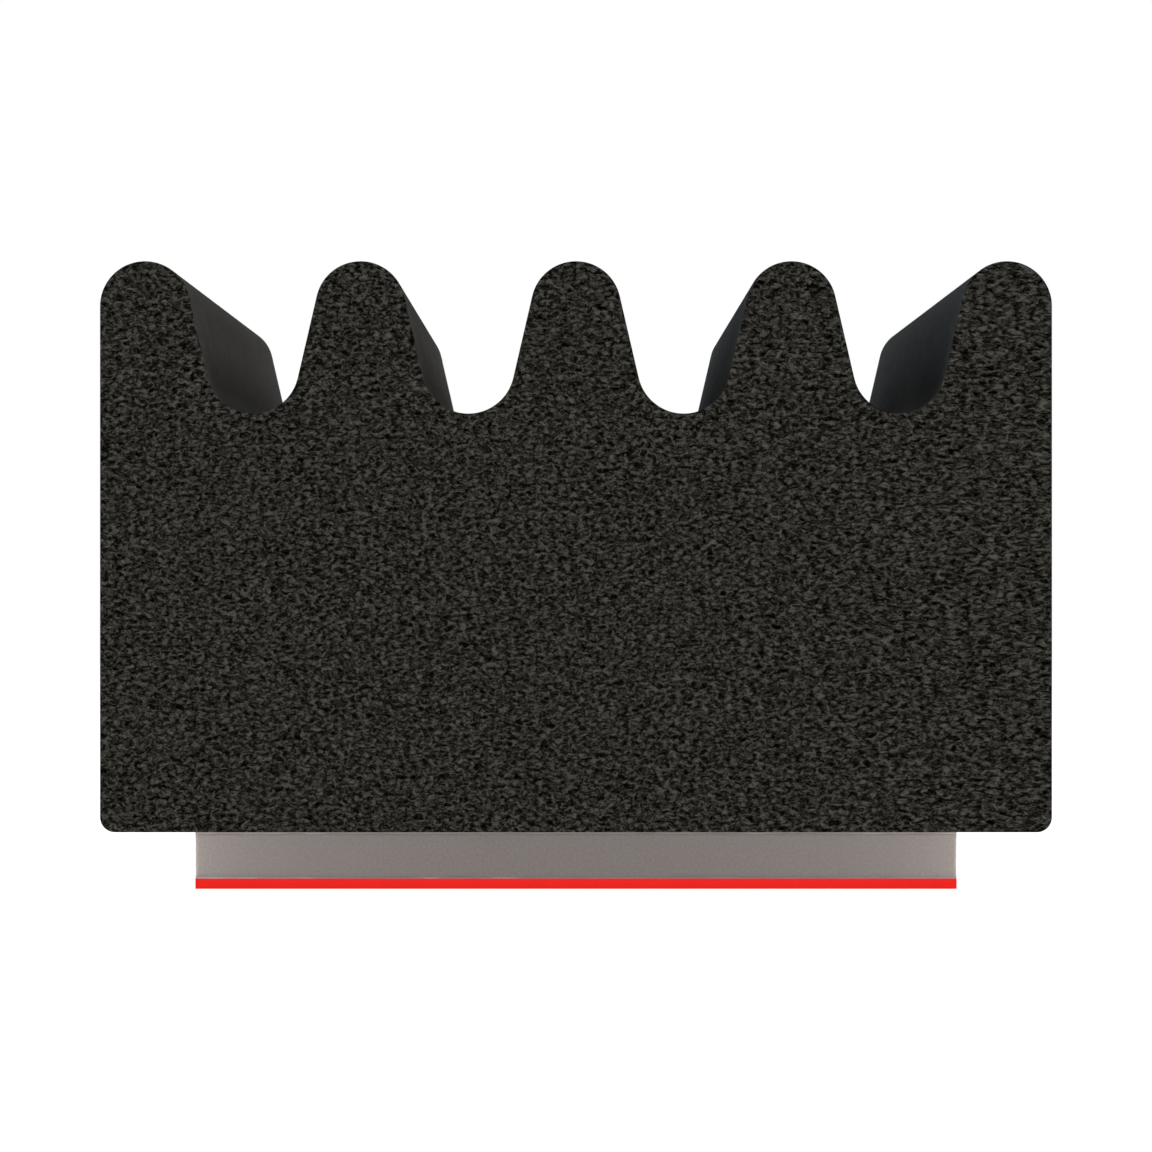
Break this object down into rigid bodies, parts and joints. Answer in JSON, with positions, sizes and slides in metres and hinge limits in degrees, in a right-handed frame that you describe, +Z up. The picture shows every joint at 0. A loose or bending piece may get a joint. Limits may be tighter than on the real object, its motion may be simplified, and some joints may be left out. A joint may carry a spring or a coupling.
{
  "type": "ribbed sponge rubber seal strip",
  "caption": "Self-adhesive ribbed sponge rubber seal strip: rounded ribs squash against a panel, and foam tape with a peel-off liner sticks the flat base down.",
  "frame": {"origin": "middle of the release liner's underside, the face the strip rests on", "axes": "+X across the strip's width, +Y along the extrusion, +Z up from the tape to the rib crests"},
  "size_m": [0.0318, 0.0254, 0.0209],
  "materials": {
    "sponge_rubber": "black closed-cell sponge rubber: smooth semi-matte skin on the extruded faces, open speckled cells on the cut ends",
    "tape_foam": "warm grey foam tape core, fine and matte, letting a little light through at its edges",
    "adhesive": "thin tacky adhesive layer, clear grey with a wet shine",
    "liner_film": "bright red plastic release film, smooth with a soft gloss"
  },
  "bodies": {
    "strip": {"sponge_profile": "sponge_rubber", "bond_adhesive": "adhesive", "tape_core": "tape_foam", "mounting_adhesive": "adhesive"},
    "liner": {"release_liner": "liner_film"}
  },
  "joints": [
    {"name": "liner_peel", "type": "hinge", "parent": "strip", "child": "liner", "pos_m": [0, 0.0127, 0.00035], "axis": [1, 0, 0], "range_deg": [0, 150]}
  ]
}
